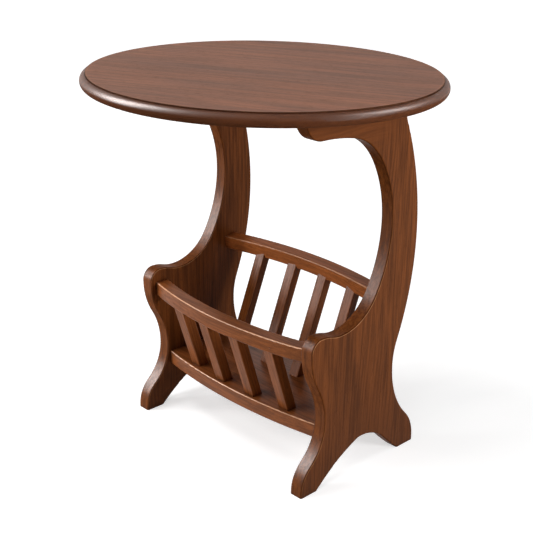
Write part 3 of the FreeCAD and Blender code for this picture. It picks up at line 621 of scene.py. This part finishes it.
def panel_lacquer(nodes, finish):
    """Lacquer of a panel, dulled where the bay's edges are handled and thin on what points down."""
    rise = face_rise(nodes)
    height = nodes.part(nodes.place(), "Z")
    handled = nodes.math("MULTIPLY", rise, nodes.remap(height, *BAY_HEIGHTS))
    lacquer = nodes.remap(handled, *HANDLED, finish.lacquer, finish.lacquer * finish.dulled)
    return thinned_below(nodes, rise, lacquer)


def jointed_walnut(name, figure, finish):
    """Lacquered walnut of a side panel: the upright's grain stands, and the arm's lies level."""
    material, nodes, shader = new_material(name)
    edges = panel_edges(nodes)
    upright = figured(nodes, figure, grain_place(nodes, UPRIGHT_GRAIN), edges)
    arm = figured(nodes, figure, grain_place(nodes, ARM_GRAIN, ARM_CUT), edges)
    in_arm = arm_share(nodes, finish)
    middle = [(light + dark) / 2 for light, dark in zip(finish.light_wood, finish.dark_wood)]
    calm = nodes.blend(finish.arm_calm, arm["Colour"], opaque(middle))
    wood = nodes.blend(in_arm, upright["Colour"], calm)
    # Painted shade on the feet, towards the rack and under the top, with a darker stain on the other
    # edges.
    wood = nodes.blend(panel_stain_and_shade(nodes, finish), wood, opaque(finish.pore))
    rough = nodes.mix(in_arm, upright["Roughness"], arm["Roughness"])
    relief = nodes.mix(in_arm, upright["Relief"], arm["Relief"])
    lacquered(nodes, shader, finish, wood, rough, relief, panel_lacquer(nodes, finish))
    return material


def beech(name, finish, rotation):
    """Bare beech of the dowels, with short darker flecks along the grain."""
    material, nodes, shader = new_material(name)
    flecks = nodes.noise(grain_place(nodes, rotation), FLECKS)
    light, dark = opaque(finish.beech_light), opaque(finish.beech_dark)
    inputs = {
        "Base Color": nodes.blend(nodes.remap(flecks, 0.5, 0.7), light, dark),
        "Roughness": nodes.remap(flecks, 0.3, 0.7, 0.6, 0.75),
        "Normal": nodes.bump(flecks, 0.3, 0.0002),
    }
    nodes.feed(shader, inputs)
    return material


def plated_steel(name, finish):
    """Plated steel of the screws, dulled in patches and faintly scratched."""
    material, nodes, shader = new_material(name)
    where = nodes.place()
    patches = nodes.noise(where, DULL_PATCHES, 3.0)
    bright, dull = opaque(finish.steel), opaque(finish.steel_dull)
    inputs = {
        "Base Color": nodes.blend(nodes.remap(patches, 0.4, 0.65), bright, dull),
        "Metallic": 1.0,
        "Roughness": nodes.remap(patches, 0.3, 0.7, 0.24, 0.46),
        "Normal": nodes.bump(nodes.noise(where, SCRATCHES, 1.0), 0.15, 0.0001),
    }
    nodes.feed(shader, inputs)
    return material


def dress(names, material):
    """Gives CAD pieces a material in all their slots."""
    for name in names:
        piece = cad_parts[name]
        if not piece.material_slots:
            raise RuntimeError(f"{name} has no material slot")
        for slot in piece.material_slots:
            slot.material = material


def lean_of(name):
    """Lean of a slat from upright, towards the back."""
    corners = [vertex.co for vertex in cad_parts[name].data.vertices]
    low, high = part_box(name)
    feet = [corner.y for corner in corners if corner.z < low.z + SLAT_END]
    heads = [corner.y for corner in corners if corner.z > high.z - SLAT_END]
    run = sum(heads) / len(heads) - sum(feet) / len(feet)
    return math.atan2(run, high.z - low.z)


class TABLE_OT_top(bpy.types.Operator):
    """Gives the round top its lacquered walnut"""

    bl_idname = "magazine_table.top"
    bl_label = "Round Top"

    def execute(self, context):
        finish = context.scene.magazine_table.top
        figure = walnut_figure("Top figure", finish)
        dress(["table_top"], rimmed_walnut("Top walnut", figure, finish))
        return {"FINISHED"}


class TABLE_OT_panels(bpy.types.Operator):
    """Gives the two C-shaped side panels their lacquered walnut"""

    bl_idname = "magazine_table.panels"
    bl_label = "Side Panels"

    def execute(self, context):
        finish = context.scene.magazine_table.panels
        figure = walnut_figure("Panel figure", finish)
        dress(SIDE_PANELS, jointed_walnut("Panel walnut", figure, finish))
        return {"FINISHED"}


class TABLE_OT_rails(bpy.types.Operator):
    """Gives the rack's bowed rails and its floor board their lacquered walnut"""

    bl_idname = "magazine_table.rails"
    bl_label = "Rails and Floor Board"

    def execute(self, context):
        settings = context.scene.magazine_table
        front, rear = settings.rails, settings.rear_rail
        edges = partial(bar_edges, axis=UPWARD)
        figure = walnut_figure("Rail figure", front)
        pale = walnut_figure("Rear rail figure", rear)
        finishes = {
            "front_top_rail": walnut("Rail walnut", figure, front, edges, front.lacquer, RAIL_GRAIN),
            "floor_board": walnut(
                "Board walnut", figure, front, edges, front.board_lacquer, LEVEL_GRAIN, FLOOR_BOARD_CUT
            ),
            "rear_top_rail": walnut(
                "Rear rail walnut", pale, rear, edges, rear.lacquer, RAIL_GRAIN, REAR_RAIL_CUT
            ),
        }
        for name, material in finishes.items():
            dress([name], material)
        return {"FINISHED"}


class TABLE_OT_slats(bpy.types.Operator):
    """Gives the rack's leaning slats their lacquered walnut, with the grain along each slat"""

    bl_idname = "magazine_table.slats"
    bl_label = "Slats"

    def execute(self, context):
        finish = context.scene.magazine_table.slats
        figure = walnut_figure("Slat figure", finish)
        edges = partial(bar_edges, axis=SIDEWAYS)
        rows = (
            ("Front slat walnut", FRONT_SLATS, finish.lacquer),
            ("Rear slat walnut", REAR_SLATS, finish.rear_lacquer),
        )
        for name, slats, lacquer in rows:
            rotation = (lean_of(slats[0]), QUARTER_TURN, 0.0)
            dress(slats, walnut(name, figure, finish, edges, lacquer, rotation))
        return {"FINISHED"}


class TABLE_OT_fasteners(bpy.types.Operator):
    """Gives the dowels their bare beech and the screws their plated steel"""

    bl_idname = "magazine_table.fasteners"
    bl_label = "Dowels and Screws"

    def execute(self, context):
        finish = context.scene.magazine_table.fasteners
        dress(LEVEL_DOWELS, beech("Level beech", finish, LEVEL_GRAIN))
        dress(["top_dowels"], beech("Upright beech", finish, UPRIGHT_GRAIN))
        dress(["top_screws"], plated_steel("Screw steel", finish))
        return {"FINISHED"}


def seen_rays(nodes):
    """One for what the camera sees, straight on or in a gloss or a glass, and else none."""
    rays = nodes.add("ShaderNodeLightPath").outputs
    seen = nodes.math("MAXIMUM", rays["Is Camera Ray"], rays["Is Glossy Ray"])
    return nodes.math("MAXIMUM", seen, rays["Is Transmission Ray"])


def pale_floor(settings):
    """Matt material of the floor, with a glow that only the camera sees and that grows outwards."""
    material = bpy.data.materials.new("Pale floor")
    nodes = cleared(material)
    matt = nodes.add("ShaderNodeBsdfDiffuse", {"Color": opaque(settings.floor)})
    away = nodes.distance(nodes.place())
    added = nodes.remap(away, GLOW_START, settings.glow_reach, settings.near_glow, settings.far_glow)
    strength = nodes.math("MULTIPLY", seen_rays(nodes), added)
    glow = nodes.add("ShaderNodeEmission", {"Strength": strength})
    both = nodes.add("ShaderNodeAddShader", {0: matt.outputs[0], 1: glow.outputs[0]})
    nodes.add("ShaderNodeOutputMaterial", {"Surface": both.outputs[0]})
    return material


def make_floor(settings):
    """Floor that shows white round the table and keeps its shadow."""
    half = settings.floor_size / 2
    mesh = bpy.data.meshes.new("floor")
    corners = [(-half, -half, 0.0), (half, -half, 0.0), (half, half, 0.0), (-half, half, 0.0)]
    mesh.from_pydata(corners, [], [(0, 1, 2, 3)])
    mesh.materials.append(pale_floor(settings))
    floor = bpy.data.objects.new("floor", mesh)
    bpy.context.scene.collection.objects.link(floor)


def make_room(settings):
    """Even room light, seen as plain white."""
    world = bpy.data.worlds.new("Studio")
    nodes = cleared(world)
    strength = nodes.remap(seen_rays(nodes), 0.0, 1.0, settings.daylight, 1.0)
    light = nodes.add("ShaderNodeBackground", {"Color": WHITE, "Strength": strength})
    nodes.add("ShaderNodeOutputWorld", {"Surface": light.outputs[0]})
    bpy.context.scene.world = world


def heading(turn, rise):
    """Direction at an angle from the front towards the right, and an angle up."""
    level = math.cos(rise)
    return Vector((math.sin(turn) * level, -math.cos(turn) * level, math.sin(rise)))


def make_lamp(name, degrees, size, watts):
    """Soft rectangular lamp that points at the middle of the table, from two angles round and up."""
    low, high = CAD_BOX
    direction = heading(*map(math.radians, degrees))
    data = bpy.data.lights.new(name, "AREA")
    data.shape = "RECTANGLE"
    data.size, data.size_y = size
    data.energy = watts
    lamp = bpy.data.objects.new(name, data)
    lamp.location = (low + high) / 2 + direction * LAMP_DISTANCE
    lamp.rotation_euler = (-direction).to_track_quat("-Z", "Y").to_euler()
    bpy.context.scene.collection.objects.link(lamp)
    return lamp


def show_in_lacquer(lamp, pieces):
    """Lets a lamp show only in the lacquer of some pieces."""
    lamp.visible_diffuse = False
    shone_on = bpy.data.collections.new(lamp.name)
    for name in pieces:
        shone_on.objects.link(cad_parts[name])
    lamp.light_linking.receiver_collection = shone_on


def make_lamps(settings):
    """Soft lamps that light the table, and lamps that only shine in its lacquer."""
    make_lamp("key_lamp", (-48, 12), SOFTBOX, settings.key_power)
    make_lamp("high_left_lamp", (-60, 62), SOFTBOX, settings.high_left_power)
    make_lamp("high_right_lamp", (30, 62), SOFTBOX, settings.high_right_power)
    make_lamp("front_lamp", (-20, 35), SOFTBOX, settings.front_power)
    make_lamp("side_lamp", (102, 17), SOFTBOX, settings.side_power)
    strip = make_lamp("strip_lamp", (-46, 13), STRIP, settings.strip_power)
    show_in_lacquer(strip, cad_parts)
    left = make_lamp("left_window", (-50, 37), LEFT_WINDOW, settings.left_window_power)
    show_in_lacquer(left, ["table_top", *SIDE_PANELS])
    back = make_lamp("back_window", (132, 38), BACK_WINDOW, settings.back_window_power)
    show_in_lacquer(back, ["table_top"])


def make_camera(settings):
    """Camera at the photograph's angle."""
    data = bpy.data.cameras.new("camera")
    data.sensor_width = SENSOR_WIDTH
    data.lens = settings.camera_lens
    turn, rise, roll = settings.camera_azimuth, settings.camera_elevation, settings.camera_roll
    back = heading(turn, rise)
    right = Vector((math.cos(turn), math.sin(turn), 0.0))
    up = back.cross(right)
    across = right * math.cos(roll) + up * math.sin(roll)
    upward = up * math.cos(roll) - right * math.sin(roll)
    camera = bpy.data.objects.new("camera", data)
    axes = Matrix((across, upward, back)).transposed().to_4x4()
    camera.matrix_world = Matrix.Translation(settings.camera_place) @ axes
    bpy.context.scene.collection.objects.link(camera)
    bpy.context.scene.camera = camera


class TABLE_OT_stage(bpy.types.Operator):
    """Sets up the floor, the room light, the lamps and the camera"""

    bl_idname = "magazine_table.stage"
    bl_label = "Stage"

    def execute(self, context):
        settings = context.scene.magazine_table.stage
        context.scene.view_settings.view_transform = "Standard"
        make_floor(settings)
        make_room(settings)
        make_lamps(settings)
        make_camera(settings)
        return {"FINISHED"}


class TABLE_PT_sidebar(bpy.types.Panel):
    """Settings and steps of the table"""

    bl_idname = "TABLE_PT_sidebar"
    bl_label = "Magazine Table"
    bl_space_type = "VIEW_3D"
    bl_region_type = "UI"
    bl_category = "Magazine Table"

    def draw(self, context):
        settings = context.scene.magazine_table
        steps = (
            (TABLE_OT_top, settings.top),
            (TABLE_OT_panels, settings.panels),
            (TABLE_OT_rails, settings.rails, settings.rear_rail),
            (TABLE_OT_slats, settings.slats),
            (TABLE_OT_fasteners, settings.fasteners),
            (TABLE_OT_stage, settings.stage),
        )
        for step, *groups in steps:
            column = self.layout.column(align=True)
            column.operator(step.bl_idname)
            for group in groups:
                for name in group.bl_rna.properties.keys():
                    if name not in ("name", "rna_type"):
                        column.prop(group, name)


CLASSES = (
    TopFinish,
    PanelFinish,
    RailFinish,
    RearRailFinish,
    SlatFinish,
    FastenerFinish,
    StageSettings,
    TableSettings,
    TABLE_OT_top,
    TABLE_OT_panels,
    TABLE_OT_rails,
    TABLE_OT_slats,
    TABLE_OT_fasteners,
    TABLE_OT_stage,
    TABLE_PT_sidebar,
)


def register():
    """Makes the settings, the steps and the sidebar known to Blender."""
    for cls in CLASSES:
        bpy.utils.register_class(cls)
    bpy.types.Scene.magazine_table = PointerProperty(type=TableSettings)


def unregister():
    """Takes them away again."""
    del bpy.types.Scene.magazine_table
    for cls in reversed(CLASSES):
        bpy.utils.unregister_class(cls)


def main():
    """Registers the classes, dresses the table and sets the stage."""
    register()
    bpy.ops.magazine_table.top()
    bpy.ops.magazine_table.panels()
    bpy.ops.magazine_table.rails()
    bpy.ops.magazine_table.slats()
    bpy.ops.magazine_table.fasteners()
    bpy.ops.magazine_table.stage()


if __name__ == "__main__":
    main()
